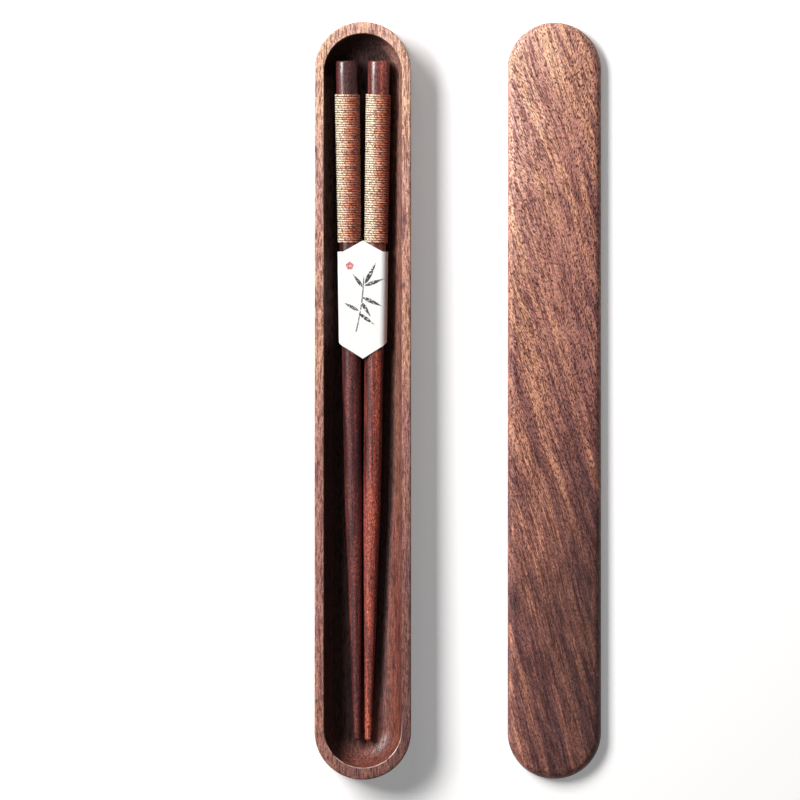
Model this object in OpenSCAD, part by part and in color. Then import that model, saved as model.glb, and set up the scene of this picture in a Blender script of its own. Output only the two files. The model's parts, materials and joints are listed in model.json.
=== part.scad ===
// Portable chopstick case, in millimetres: a hollowed wooden tray, its loose lid lying beside it,
// and two thread-wrapped chopsticks held together by a folded paper band.
// The origin is the centre of the tray's base, +Z is up and +Y points to the chopstick heads.

/* [Chopsticks] */
// Length of one chopstick
stick_l = 230; // [180:1:260]
// Width across the flats at the head end
head_w = 7.4; // [6.6:0.1:9.2]
// Width where the handle ends and the long taper starts
waist_w = 5.9; // [5.2:0.1:6.6]
// Width at the tip
tip_w = 2.2; // [2:0.1:3.5]
// Squareness of the section at the head end, where 2 is round
head_square = 2.5; // [2.2:0.1:4.5]
// Squareness of the section at the tip
tip_square = 2.1; // [2:0.1:4]
// Distance from the head end to the start of the long taper
handle_l = 150; // [130:1:180]
// Rounding of the head's edge
head_round = 0.6; // [0.2:0.1:1.5]
// Rounding of the tip's edge
tip_round = 0.9; // [0.3:0.1:1]
// Space between the two chopsticks at the heads
head_gap = 3.5; // [2.8:0.1:5]
// Space between the two chopsticks at the waists
waist_gap = 0.24; // [0.2:0.02:1]

/* [Thread wrap] */
// Bare length between the head end and the wrap
wrap_start = 11; // [6:1:16]
// Length of the wrap along the chopstick
wrap_l = 51; // [40:1:56]
// Loops in the wrap, each standing for two or three turns of fine thread side by side
wrap_loops = 24; // [12:1:24]
// Thickness of the wrap
thread_t = 0.6; // [0.4:0.05:0.8]
// Space between one loop and the next
loop_gap = 0.45; // [0.42:0.01:0.8]
// Clearance between wrap and chopstick
wrap_fit = 0.05; // [0.03:0.01:0.1]
// Angle between a corner of the chopstick and the bends that the thread makes beside it
corner_turn = 25; // [15:1:28]

/* [Paper band] */
// Space between the end of the wrap and the band's shoulders
band_gap = 2.6; // [2:0.1:6]
// Height of the band at its sides
band_h = 30.5; // [20:0.5:40]
// Height of the pointed upper edge above the shoulders
top_point = 3.8; // [0.5:0.1:5]
// Depth of the pointed lower edge below the sides
low_point = 5.7; // [0.5:0.1:8]
// Flat shoulder on each side of the upper point, measured along the paper
shoulder_w = 3.2; // [2:0.1:5]
// Radius of the paper where it bends round the chopsticks' outer corners
bend_r = 2.4; // [1.2:0.1:2.8]
// Thickness of the paper
paper_t = 0.2; // [0.15:0.01:0.3]
// Clearance between paper and chopsticks, above and below them
paper_fit = 0.15; // [0.1:0.01:0.3]
// Space beside the chopsticks in the band, at its shoulders
top_slack = 0.55; // [0.4:0.05:1.2]
// Space beside the chopsticks in the band, at its lower edge
low_slack = 0.75; // [0.4:0.05:1.4]
// Clearance between the band and the tray's floor
rest_fit = 0.3; // [0.2:0.05:0.5]

/* [Tray] */
// Thickness of the floor
floor_t = 3.6; // [2.8:0.1:5]
// Thickness of the side walls at the rim
side_wall = 3.3; // [2.5:0.1:5]
// Thickness of the end walls at the rim
end_wall = 4.1; // [3:0.1:6]
// Finger room beside the chopsticks
side_room = 3.1; // [2.6:0.1:6]
// Room past each end of the chopsticks
end_room = 9; // [7:0.1:14]
// Space between the chopsticks and the closed lid
head_room = 0.4; // [0.3:0.1:2]
// Radius of the cove between floor and walls
cove_r = 8; // [4:0.5:9.5]
// Rounding of the base's edge
base_round = 2.6; // [1:0.1:3]
// Rounding of the rim's outer edge
rim_round = 0.6; // [0.3:0.1:1.2]
// Chamfer of the rim's inner edge
mouth_chamfer = 0.4; // [0.2:0.1:0.8]

/* [Lid] */
// Thickness of the lid's plate
lid_t = 3.9; // [3.6:0.1:7]
// How far the plate's long sides stand back from the tray's
lid_inset = 0.5; // [0:0.1:1]
// Depth of the lip under the plate, which fits the tray's mouth
lip_h = 1.2; // [0.8:0.1:3]
// Width of the lip
lip_w = 1.8; // [1.4:0.1:2.4]
// Clearance between lip and tray on every side
lip_fit = 0.2; // [0.1:0.05:0.4]
// Chamfer of the lip's lower edge
lip_chamfer = 0.4; // [0.2:0.1:0.8]
// How far the space inside the lip is hollowed into the plate
recess_d = 0.3; // [0.1:0.1:1]
// Rounding of the plate's upper edge
lid_round = 2.6; // [1:0.1:3]
// Rounding of the plate's lower edge
lid_under_round = 0.4; // [0.2:0.1:0.6]
// Table space between the tray and the lid
lid_gap = 32.7; // [10:0.1:80]

/* [Hidden] */
$fn = 64;

walnut = "#9a6a5a";
lacquered_wood = "#7d423d";
thread_colour = "#e2bd9c";
paper_colour = "#f4f1ee";

// Steps round the chopsticks' end roundings, along each half of their length and round their section
arc_steps = 4;
body_steps = 12;
section_sides = 32;

// Bends of the thread in one loop, and how far the wrap stands out from the chopstick
wrap_bends = [for (quarter = [0 : 3], bend = [-1 : 1]) 90 * quarter + 45 + corner_turn * bend];
loop_rings = len(wrap_bends);
chord_lift = max([for (i = [1 : loop_rings]) chord_dip(bend_angle(i - 1), bend_angle(i))]);
wrap_out = head_w / 2 * (chord_lift - 1) + wrap_fit + thread_t;

// Where the chopsticks lie: the lower end of the wrap and the waist are level, just clear of the paper
// that passes under them
under_z = floor_t + rest_fit + paper_t + paper_fit;
wrap_end = wrap_start + wrap_l;
waist_at = [(waist_w + waist_gap) / 2, under_z + waist_w / 2];
axis_rise = (stick_hw(wrap_end) + wrap_out - waist_w / 2) / (handle_l - wrap_end);
head_at = [(head_w + head_gap) / 2, waist_at[1] + axis_rise * handle_l];
tip_at = mix(head_at, waist_at, stick_l / handle_l);
stick_run = sqrt(pow(stick_l, 2) - pow(head_at[0] - tip_at[0], 2) - pow(head_at[1] - tip_at[1], 2));

// Wrap pitch, so that the loops and the gaps between them fill the wrap's length
pitch = (wrap_l + loop_gap) / (wrap_loops + 1);
strand_w = pitch - loop_gap;
strand_sides = 6;

// Steps along the front of the paper band and round each of its bends
front_steps = 6;
bend_steps = 4;
band_start = wrap_end + band_gap;
band_end = band_start + band_h;

// Tray and lid outlines, worked out from what the case holds
cavity_hw = head_at[0] + head_w / 2 + wrap_out + side_room;
cavity_hl = stick_run / 2 + end_room;
case_hw = cavity_hw + side_wall;
case_hl = cavity_hl + end_wall;
pair_top = head_at[1] + head_w / 2 + wrap_out;
tray_h = pair_top + head_room;
cavity_depth = tray_h - floor_t;
lip_hw = cavity_hw - lip_fit;
lip_hl = cavity_hl - lip_fit;
lid_hw = case_hw - lid_inset;
lid_x = case_hw + lid_gap + lid_hw;
overcut = 1;

// Half width, rounded square section and axis of a chopstick at a distance from its head end
function mix(a, b, t) = a + (b - a) * t;
function stick_hw(s) = s < handle_l
    ? mix(head_w, waist_w, s / handle_l) / 2
    : mix(waist_w, tip_w, (s - handle_l) / (stick_l - handle_l)) / 2;
function squareness(s) = mix(head_square, tip_square, s / stick_l);
function rounded_square(n, a) =
    [cos(a), sin(a)] / pow(pow(abs(cos(a)), n) + pow(abs(sin(a)), n), 1 / n);
function axis_x(s) = mix(head_at[0], tip_at[0], s / stick_l);
function axis_y(s) = mix(stick_run / 2, -stick_run / 2, s / stick_l);
function axis_z(s) = mix(head_at[1], tip_at[1], s / stick_l);

// How far the section bulges past a straight stretch of thread between two angles, as a ratio
function chord_dip(from, to) =
    let (middle = (rounded_square(head_square, from) + rounded_square(head_square, to)) / 2)
    norm(rounded_square(head_square, atan2(middle[1], middle[0]))) / norm(middle);

// Angle of a bend in the thread, counted on from loop to loop
function bend_angle(i) = 360 * floor(i / loop_rings) + wrap_bends[i % loop_rings];

// Two triangles for each square between neighbouring rings of points
function ring_faces(rings, sides) = [
    for (i = [0 : rings - 2], k = [0 : sides - 1])
        let (a = i * sides + k, b = i * sides + (k + 1) % sides)
            each [[a, b, b + sides], [a, b + sides, a + sides]]
];

// Fans of triangles that close the first and the last ring
function end_faces(rings, sides) =
    let (last = rings * sides - 1)
    [for (k = [1 : sides - 2]) each [[0, k + 1, k], [last, last - k - 1, last - k]]];

// What rounding takes off a section's lower right corner, where that corner is the origin
module corner_waste(r) {
    difference() {
        translate([-r, -overcut])
            square([r + overcut, r + overcut]);
        translate([-r, r])
            circle(r);
    }
}

// Cross-section that stands on the line y = 0, with rounded lower and upper corners
module rounded_section(half_w, h, low_r, top_r) {
    difference() {
        translate([-half_w, 0])
            square([2 * half_w, h]);
        for (side = [0, 1])
            mirror([side, 0]) {
                translate([half_w, 0])
                    corner_waste(low_r);
                translate([half_w, h])
                    mirror([0, 1])
                        corner_waste(top_r);
            }
    }
}

// Cross-section of the hollow, from the floor up past the rim, with coved sides
module cavity_section() {
    mouth = cavity_hw + mouth_chamfer + overcut;
    difference() {
        polygon([
            [-cavity_hw, 0],
            [cavity_hw, 0],
            [cavity_hw, cavity_depth - mouth_chamfer],
            [mouth, cavity_depth + overcut],
            [-mouth, cavity_depth + overcut],
            [-cavity_hw, cavity_depth - mouth_chamfer]
        ]);
        for (side = [0, 1])
            mirror([side, 0])
                translate([cavity_hw, 0])
                    corner_waste(cove_r);
    }
}

// Cross-section of the block that the lid's lip is cut from, carried up into the plate so that the two
// are one piece of wood
module lip_section() {
    polygon([
        [-lip_hw + lip_chamfer, 0],
        [lip_hw - lip_chamfer, 0],
        [lip_hw, lip_chamfer],
        [lip_hw, lip_h + lid_t / 2],
        [-lip_hw, lip_h + lid_t / 2],
        [-lip_hw, lip_chamfer]
    ]);
}

// Cross-section of the space inside the lip
module recess_section() {
    translate([lip_w - lip_hw, -overcut])
        square([2 * (lip_hw - lip_w), lip_h + recess_d + overcut]);
}

// Straight body with half-round ends that carries a symmetrical cross-section all the way round.
// Its half run is in whole hundredths, so that body and ends meet exactly.
module long_round(half_w, half_l) {
    run = round(100 * (half_l - half_w)) / 100;
    reach = 2 * half_w;
    rotate([90, 0, 0])
        linear_extrude(2 * run, center = true)
            children();
    for (turn = [0, 180])
        rotate([0, 0, turn])
            translate([0, run, 0])
                rotate_extrude(angle = 180)
                    intersection() {
                        children();
                        translate([0, -reach])
                            square([reach, 2 * reach]);
                    }
}

// Carries a shape that stands on its tip along Z to a chopstick's place in the tray
module along_stick(side) {
    lean = [side * (head_at[0] - tip_at[0]), stick_run, head_at[1] - tip_at[1]];
    translate([side * tip_at[0], -stick_run / 2, tip_at[1]])
        rotate([0, acos(lean[2] / stick_l), atan2(lean[1], lean[0])])
            children();
}

module tray() {
    color(walnut)
        difference() {
            long_round(case_hw, case_hl)
                rounded_section(case_hw, tray_h, base_round, rim_round);
            translate([0, 0, floor_t])
                long_round(cavity_hw, cavity_hl)
                    cavity_section();
        }
}

module lid() {
    color(walnut)
        translate([lid_x, 0, 0])
            difference() {
                union() {
                    translate([0, 0, lip_h])
                        long_round(lid_hw, case_hl)
                            rounded_section(lid_hw, lid_t, lid_under_round, lid_round);
                    long_round(lip_hw, lip_hl)
                        lip_section();
                }
                long_round(lip_hw - lip_w, lip_hl - lip_w)
                    recess_section();
            }
}

// Chopstick stations: a distance from the head end, and what rounding takes off the half width there
stick_stations = concat(
    [
        for (i = [0 : arc_steps - 1])
            let (a = 90 * (1 - i / arc_steps)) head_round * [1 - sin(a), 1 - cos(a)]
    ],
    [for (i = [0 : body_steps]) [mix(head_round, handle_l, i / body_steps), 0]],
    [for (i = [1 : body_steps]) [mix(handle_l, stick_l - tip_round, i / body_steps), 0]],
    [
        for (i = [1 : arc_steps])
            let (a = 90 * i / arc_steps) [stick_l, 0] + tip_round * [sin(a) - 1, 1 - cos(a)]
    ]
);

// Slim chopstick, square with rounded corners at the head and nearly round at the tip
module chopstick(side) {
    points = [
        for (st = stick_stations, k = [0 : section_sides - 1])
            let (p = (stick_hw(st[0]) - st[1]) * rounded_square(squareness(st[0]), 360 * k / section_sides))
                [p[0], p[1], stick_l - st[0]]
    ];
    rings = len(stick_stations);
    color(lacquered_wood)
        along_stick(side)
            polyhedron(points, concat(ring_faces(rings, section_sides), end_faces(rings, section_sides)));
}

// One unbroken thread wound down the handle, whose two ends run straight for one thread thickness
function strand_point(a, k) =
    let (
        s = wrap_start + strand_w / 2 + pitch * (a - bend_angle(0)) / 360,
        across = strand_w / 2 * cos(360 * k / strand_sides),
        out = thread_t / 2 * (1 + sin(360 * k / strand_sides) / sin(360 / strand_sides)),
        r = stick_hw(s) * norm(rounded_square(squareness(s), a)) * chord_lift + wrap_fit + out
    )
    [r * cos(a), r * sin(a), stick_l - s - across];

function strand_ring(i) = [for (k = [0 : strand_sides - 1]) strand_point(bend_angle(i), k)];

function straight_end(ring, next) =
    let (run = ring[0] - next[0])
    [for (p = ring) p + thread_t * run / norm(run)];

wound = [for (i = [0 : wrap_loops * loop_rings]) strand_ring(i)];
wrap_rings = concat(
    [straight_end(wound[0], wound[1])],
    wound,
    [straight_end(wound[len(wound) - 1], wound[len(wound) - 2])]
);

// Least distance between the points of one loop and those of the next
loop_clearance = min([
    for (i = [1 : len(wrap_rings) - loop_rings - 2], step = [-1 : 1], p = wrap_rings[i])
        for (q = wrap_rings[i + loop_rings + step]) norm(p - q)
]);

module thread_wrap(side) {
    rings = len(wrap_rings);
    color(thread_colour)
        along_stick(side)
            polyhedron(
                [for (ring = wrap_rings) each ring],
                concat(ring_faces(rings, strand_sides), end_faces(rings, strand_sides))
            );
}

// Paper band stations, clockwise from the front's left end: a share of the half width and of the half
// height at which the paper's bend has its centre, and the direction out from there
function bend(across, up, from) =
    [for (i = [0 : bend_steps]) [across, up, from - 90 * i / bend_steps]];

band_stations = concat(
    [for (i = [0 : front_steps - 1]) [mix(-1, 1, i / front_steps), 1, 90]],
    bend(1, 1, 90),
    bend(1, -1, 0),
    bend(-1, -1, -90),
    [for (i = [0 : bend_steps - 1]) [-1, 1, -180 - 90 * i / bend_steps]]
);

function band_under() = under_z - paper_fit;
function band_over(s) = axis_z(s) + stick_hw(s) + paper_fit;
function band_half_h(s) = (band_over(s) - band_under()) / 2;
function band_half_w(s) =
    axis_x(s) + stick_hw(s) + mix(top_slack, low_slack, (s - band_start) / band_h);

// Distance along the paper from the middle of the front to a station, and to the end of its bend
function front_half(s) = band_half_w(s) - bend_r + bend_r * PI / 2;
function along_paper(station, s) =
    let (turned = station[0] > 0 ? 90 - station[2] : 270 + station[2])
    station[1] < 0 ? front_half(s)
    : station[2] == 90 ? abs(station[0]) * (band_half_w(s) - bend_r)
    : band_half_w(s) - bend_r + bend_r * turned * PI / 180;

// Where the pointed edges of the paper lie at a station, as a distance from the head end
function band_upper(station) =
    let (width = front_half(band_start) - shoulder_w)
    band_start - top_point * max(0, 1 - along_paper(station, band_start) / width);
function band_lower(station) =
    band_end + low_point * max(0, 1 - along_paper(station, band_end) / front_half(band_end));

function band_point(station, s, out) = [
    station[0] * (band_half_w(s) - bend_r) + (bend_r + out) * cos(station[2]),
    axis_y(s),
    band_under() + band_half_h(s)
        + station[1] * (band_half_h(s) - bend_r) + (bend_r + out) * sin(station[2])
];

module paper_band() {
    rings = [
        [for (st = band_stations) band_point(st, band_upper(st), 0)],
        [for (st = band_stations) band_point(st, band_upper(st), paper_t)],
        [for (st = band_stations) band_point(st, band_lower(st), paper_t)],
        [for (st = band_stations) band_point(st, band_lower(st), 0)]
    ];
    sides = len(band_stations);
    points = [for (ring = rings) each ring];
    faces = [
        for (face = ring_faces(len(rings) + 1, sides)) [for (corner = face) corner % len(points)]
    ];
    color(paper_colour)
        polyhedron(points, faces);
}

echo(str("least gap between wrap loops: ", loop_clearance, " mm"));
echo(str("tray ", 2 * case_hw, " x ", 2 * case_hl, " x ", tray_h, " mm, lid offset ", lid_x, " mm"));

tray();
lid();
chopstick(-1);  // left_chopstick
chopstick(1);  // right_chopstick
thread_wrap(-1);  // left_thread_wrap
thread_wrap(1);  // right_thread_wrap
paper_band();
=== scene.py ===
"""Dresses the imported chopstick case: walnut tray and lid, lacquered chopsticks, silk wraps, paper band."""
from __future__ import annotations

import functools
import json
import logging
import math
from dataclasses import dataclass
from enum import Enum
from typing import Any, Callable, Iterable, Sequence, Union

import bmesh
import bpy
from mathutils import Matrix, Vector

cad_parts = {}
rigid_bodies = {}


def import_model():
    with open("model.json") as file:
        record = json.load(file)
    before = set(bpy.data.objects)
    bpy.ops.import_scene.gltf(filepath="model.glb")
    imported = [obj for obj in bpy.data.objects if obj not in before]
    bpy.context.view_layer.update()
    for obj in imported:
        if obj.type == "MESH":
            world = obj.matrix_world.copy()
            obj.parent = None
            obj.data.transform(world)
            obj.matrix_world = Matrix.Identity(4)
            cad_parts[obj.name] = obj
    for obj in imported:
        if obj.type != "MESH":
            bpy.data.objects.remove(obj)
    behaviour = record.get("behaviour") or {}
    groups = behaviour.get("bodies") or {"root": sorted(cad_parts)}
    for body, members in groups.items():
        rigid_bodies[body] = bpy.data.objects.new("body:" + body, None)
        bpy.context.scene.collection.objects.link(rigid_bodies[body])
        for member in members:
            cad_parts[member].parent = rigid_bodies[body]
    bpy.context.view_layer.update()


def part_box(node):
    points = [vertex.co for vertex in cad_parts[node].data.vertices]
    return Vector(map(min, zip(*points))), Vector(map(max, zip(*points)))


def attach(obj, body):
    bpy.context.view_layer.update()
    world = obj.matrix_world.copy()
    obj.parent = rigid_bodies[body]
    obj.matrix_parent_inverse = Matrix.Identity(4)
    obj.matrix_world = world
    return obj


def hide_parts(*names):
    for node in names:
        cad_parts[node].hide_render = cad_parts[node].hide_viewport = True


LOG = logging.getLogger("chopstick_case")
MM = 0.001
MERGE_DISTANCE = 1e-6

Colour = tuple[float, float, float]
Place = tuple[float, float, float]
Point = tuple[float, float]


class Side(Enum):
    """Which chopstick of the pair, by the sign of its place across the tray."""

    LEFT = -1
    RIGHT = 1

    @property
    def word(self) -> str:
        """Name used in the CAD nodes and bodies."""
        return self.name.lower()


class Slot(Enum):
    """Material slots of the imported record."""

    WALNUT = "walnut"
    LACQUER = "lacquered_wood"
    THREAD = "thread"
    PAPER = "paper"


def maths(operation: str, swapped: bool = False) -> Callable[..., Socket]:
    """Make a method of Socket that adds one Math node.

    Args:
        operation: Blender's name of the operation.
        swapped: Whether the other value comes first, as in a reflected form.

    Returns:
        The method.
    """

    def method(self: Socket, other: Operand = 0.0) -> Socket:
        """Join two values by the Math node, or change the one if the operation takes no more."""
        first, second = (other, self) if swapped else (self, other)
        return self.graph.node("ShaderNodeMath", {"operation": operation}, {0: first, 1: second})

    return method


@dataclass(frozen=True)
class Socket:
    """A node's output that takes part in Python expressions, each of which adds a Math node."""

    graph: Graph
    socket: bpy.types.NodeSocket

    __add__ = maths("ADD")
    __radd__ = maths("ADD", swapped=True)
    __sub__ = maths("SUBTRACT")
    __rsub__ = maths("SUBTRACT", swapped=True)
    __mul__ = maths("MULTIPLY")
    __rmul__ = maths("MULTIPLY", swapped=True)
    __truediv__ = maths("DIVIDE")
    __rtruediv__ = maths("DIVIDE", swapped=True)
    least = maths("MINIMUM")
    most = maths("MAXIMUM")
    size = maths("ABSOLUTE")
    sine = maths("SINE")

    def out(self, name: Union[str, int]) -> Socket:
        """Another output of the same node."""
        return Socket(self.graph, self.socket.node.outputs[name])

    def smooth(self, low: float, high: float) -> Socket:
        """Rise smoothly from 0 at low to 1 at high, or fall where high is the smaller.

        Args:
            low: Value at which the result is 0.
            high: Value at which the result is 1.

        Returns:
            The eased value.
        """
        if high < low:
            return 1.0 - self.smooth(high, low)
        return self.graph.node(
            "ShaderNodeMapRange",
            {"interpolation_type": "SMOOTHSTEP"},
            {"Value": self, "From Min": low, "From Max": high},
        )


Operand = Union[Socket, float]
Parts = tuple[Socket, Socket, Socket]


class Graph:
    """Node tree of a material or world under construction."""

    def __init__(self, tree: bpy.types.NodeTree) -> None:
        """Start from an empty tree."""
        self.tree = tree
        self.tree.nodes.clear()

    def node(
        self,
        kind: str,
        settings: dict[str, Any] | None = None,
        sockets: dict[Union[str, int], Any] | None = None,
        output: Union[str, int] = 0,
    ) -> Socket:
        """Add a node, set it up and feed its sockets.

        Args:
            kind: Blender's name of the node type.
            settings: Properties to set first, because they can change the sockets.
            sockets: A value or a Socket for each input, by name or number.
            output: Output that the result stands for.

        Returns:
            The chosen output, or the first one.
        """
        made = self.tree.nodes.new(kind)
        for name, value in (settings or {}).items():
            setattr(made, name, value)
        for name, value in (sockets or {}).items():
            if isinstance(value, Socket):
                self.tree.links.new(value.socket, made.inputs[name])
            else:
                made.inputs[name].default_value = value
        return Socket(self, made.outputs[output] if len(made.outputs) else None)

    def object_place(self) -> Socket:
        """Object coordinates in metres."""
        return self.node("ShaderNodeTexCoord", output="Object")

    def parts(self, place: Socket) -> Parts:
        """Split a place into x, y and z."""
        apart = self.node("ShaderNodeSeparateXYZ", sockets={0: place})
        return apart.out("X"), apart.out("Y"), apart.out("Z")

    def joined(self, x: Socket, y: Socket, z: Socket) -> Socket:
        """Make a place from x, y and z."""
        return self.node("ShaderNodeCombineXYZ", sockets={0: x, 1: y, 2: z})

    def ramp(self, stops: Sequence[tuple[float, Colour]], position: Socket) -> Socket:
        """Colour at a position between stops.

        Args:
            stops: Positions and colours in order, at least the two that a new ramp has.
            position: Where between them, from 0 to 1.

        Returns:
            The colour.
        """
        made = self.node("ShaderNodeValToRGB", sockets={0: position})
        elements = made.socket.node.color_ramp.elements
        for index, (spot, colour) in enumerate(stops):
            if index >= len(elements):
                elements.new(spot)
            elements[index].position = spot
            elements[index].color = (*colour, 1.0)
        return made

    def noise(self, place: Socket, scale: Sequence[float], detail: float = 2.0, shift: float = 0.0) -> Socket:
        """Noise with its own scale along each axis.

        Args:
            place: Coordinates in metres.
            scale: Features per metre along x, y and z.
            detail: Octaves of finer noise.
            shift: Move along every axis, which gives another pattern of the same kind.

        Returns:
            Values round 0.5.
        """
        spread = self.node(
            "ShaderNodeVectorMath",
            {"operation": "MULTIPLY_ADD"},
            {0: place, 1: tuple(scale), 2: (shift, shift, shift)},
        )
        return self.node(
            "ShaderNodeTexNoise",
            sockets={"Vector": spread, "Scale": 1.0, "Detail": detail, "Roughness": 0.55},
        )

    def mix(self, factor: Operand, first: Any, second: Any, blend: str = "MIX") -> Socket:
        """Mix two colours.

        Args:
            factor: Share of the second colour.
            first: Colour or Socket.
            second: Colour or Socket.
            blend: Blender's name of the blend mode.

        Returns:
            The mixed colour.
        """
        colours = [c if isinstance(c, Socket) else (*c, 1.0) for c in (first, second)]
        settings = {"data_type": "RGBA", "blend_type": blend}
        return self.node("ShaderNodeMix", settings, {0: factor, 6: colours[0], 7: colours[1]}, output=2)

    def tint(self, share: Operand, colour: Socket, by: Any) -> Socket:
        """Multiply a colour by another one, as far as share says."""
        return self.mix(share, colour, by, "MULTIPLY")

    def bump(self, height: Socket, depth: float, strength: float) -> Socket:
        """Normal tipped by a height pattern whose full range is depth metres."""
        sockets = {"Height": height, "Distance": depth, "Strength": strength}
        return self.node("ShaderNodeBump", sockets=sockets)

    def surface(self, sockets: dict[str, Any]) -> None:
        """Finish a material with one Principled shader."""
        shader = self.node("ShaderNodeBsdfPrincipled", sockets=sockets)
        self.node("ShaderNodeOutputMaterial", sockets={"Surface": shader})


class Finish:
    """Base of the finishes: a named material made once."""

    name: str

    def draw(self, graph: Graph) -> None:
        """Fill the material's node tree."""
        raise NotImplementedError

    def material(self) -> bpy.types.Material:
        """Make the material.

        Returns:
            A new material with this finish's node tree.
        """
        made = bpy.data.materials.new(self.name)
        made.use_nodes = True
        self.draw(Graph(made.node_tree))
        return made


BOARD_WIDTH = 32.0 * MM
FAN_START = 10.0 * MM
RIGHT_FAN = -1.3
DARKEST_FADE = 0.86
WARM_CAST = (1.05, 1.02, 0.86)
COOL_CAST = (0.92, 0.86, 0.92)
GROWTH_LINE_TINT = (0.50, 0.42, 0.45)
FLECK_TINT = (1.46, 1.42, 1.30)
PINK_LINE_TINT = (1.7, 1.75, 1.8)
PORE_TINT = (0.22, 0.15, 0.17)
# Painted shade in the hollow.
PAINTED_SHADE_TINT = (0.15, 0.125, 0.125)
# Painted highlight on the hollow's mouth edge.
PAINTED_EDGE_HIGHLIGHT = (0.80, 0.58, 0.50)


@dataclass(frozen=True)
class Walnut(Finish):
    """Oiled walnut whose board runs from pale wood at one end to dark wood at the other.

    The three values of dusk say how much darker it is painted from left to right at the pale end,
    in the middle and at the dark end, as painted shade away from the window on the left. The grain leans by
    lean, bends by bow and wanders by sway. The pores lean apart by fan at the pale end and weaken by
    pore_fade at the dark end, where pink_lines sets thin light lines.
    """

    name: str
    stops: tuple[tuple[float, Colour], ...]
    dusk: Colour
    fade_length: float
    pale_y: float = 125.0 * MM
    middle_x: float = 0.0
    shift: float = 0.0
    lean: float = 0.0
    bow: float = 0.0
    sway: float = 4.0 * MM
    fan: float = 0.0
    figure: float = 0.3
    line_depth: float = 0.8
    pores: Point = (2600.0, 350.0)
    pore_depth: float = 0.7
    pore_fade: float = 0.0
    pink_lines: float = 0.0
    roughness: float = 0.46
    gloss: float = 0.35

    def across(self, x: Socket, y: Socket) -> Socket:
        """Distance across the grain."""
        return x + y * self.lean + y * y * self.bow

    def pore_field(self, graph: Graph, place: Parts) -> Socket:
        """Short strokes along the grain, which lean apart towards the pale end.

        Args:
            graph: Node tree of the material.
            place: Coordinates in metres.

        Returns:
            Noise round 0.5.
        """
        x, y, z = place
        thin, long = self.pores
        sides = []
        for fan in (self.fan, self.fan * RIGHT_FAN):
            slanted = graph.joined(self.across(x, y) + (y - FAN_START).most(0.0) * fan, y, z)
            sides.append(graph.noise(slanted, (thin, long, thin), 1.0, self.shift))
        right = x.smooth(self.middle_x - 5.0 * MM, self.middle_x + 9.0 * MM)
        return sides[0] + (sides[1] - sides[0]) * right

    def tone(self, place: Parts, figure: Socket) -> Socket:
        """Where on the way from pale to dark wood a place is, with the painted shade across the board.

        Args:
            place: Coordinates in metres.
            figure: Bands and streaks, with values round 1.

        Returns:
            Position between the stops.
        """
        x, y, _ = place
        pale, middle, dark = self.dusk
        to_pale = y.smooth(20.0 * MM, 80.0 * MM) * (pale - middle)
        to_dark = y.smooth(-20.0 * MM, -80.0 * MM) * (dark - middle)
        # Painted shade: darker from left to right, away from the window on the left, as far as dusk says.
        aside = (x - self.middle_x) / BOARD_WIDTH
        fade = ((self.pale_y - y) / self.fade_length).least(DARKEST_FADE)
        return fade + aside * (middle + to_pale + to_dark) + (figure - 1.0) * self.figure

    def worn(
        self, graph: Graph, place: Parts, streak: Socket, colour: Socket, roughness: Socket
    ) -> tuple[Socket, Socket]:
        """Colour and roughness with painted shade and highlight, which this wood leaves out."""
        return colour, roughness

    def draw(self, graph: Graph) -> None:
        """Lay bands, streaks, growth lines, pores and flecks along the grain.

        Args:
            graph: Node tree of the material.
        """
        spot = graph.object_place()
        place = graph.parts(spot)
        x, y, z = place
        wander = graph.noise(spot, (20.0, 10.0, 20.0), 1.0, self.shift) - 0.5
        grain = graph.joined(self.across(x, y) + wander * self.sway, y, z)
        band = graph.noise(grain, (140.0, 9.0, 140.0), 3.0, self.shift)
        streak = graph.noise(grain, (430.0, 24.0, 430.0), 3.0, self.shift + 17.0)
        line = graph.noise(grain, (1250.0, 110.0, 1250.0), 2.0, self.shift + 5.0)
        fleck = graph.noise(grain, (1900.0, 750.0, 1900.0), 1.0, self.shift + 31.0)
        thin = graph.noise(grain, (1400.0, 55.0, 1400.0), 1.0, self.shift + 43.0)
        speck = graph.noise(spot, (2700.0, 1700.0, 2700.0), 1.0, self.shift + 3.0)
        kept = 1.0 - y.smooth(0.0, -70.0 * MM) * self.pore_fade
        pore = self.pore_field(graph, place).smooth(0.53, 0.59) * kept
        pink = thin.smooth(0.56, 0.64) * y.smooth(30.0 * MM, -60.0 * MM)
        hue = (band * 0.4 + streak * 0.6).smooth(0.40, 0.60)

        colour = graph.ramp(self.stops, self.tone(place, band + streak))
        colour = graph.tint(1.0, colour, graph.mix(hue, WARM_CAST, COOL_CAST))
        colour = graph.tint(line.smooth(0.48, 0.62) * self.line_depth, colour, GROWTH_LINE_TINT)
        colour = graph.tint(fleck.smooth(0.52, 0.62) * 0.75, colour, FLECK_TINT)
        colour = graph.tint(pink * self.pink_lines, colour, PINK_LINE_TINT)
        colour = graph.tint(pore * self.pore_depth, colour, PORE_TINT)
        colour = graph.tint(1.0, colour, 0.2 + speck * 1.6)
        roughness = self.roughness + pore * 0.18 + (line - 0.5) * 0.15
        colour, roughness = self.worn(graph, place, streak, colour, roughness)
        graph.surface(
            {
                "Base Color": colour,
                "Roughness": roughness,
                "Specular IOR Level": self.gloss,
                "Normal": graph.bump(line * 0.3 - pore * 0.7, 0.1 * MM, 0.55),
            }
        )


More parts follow.
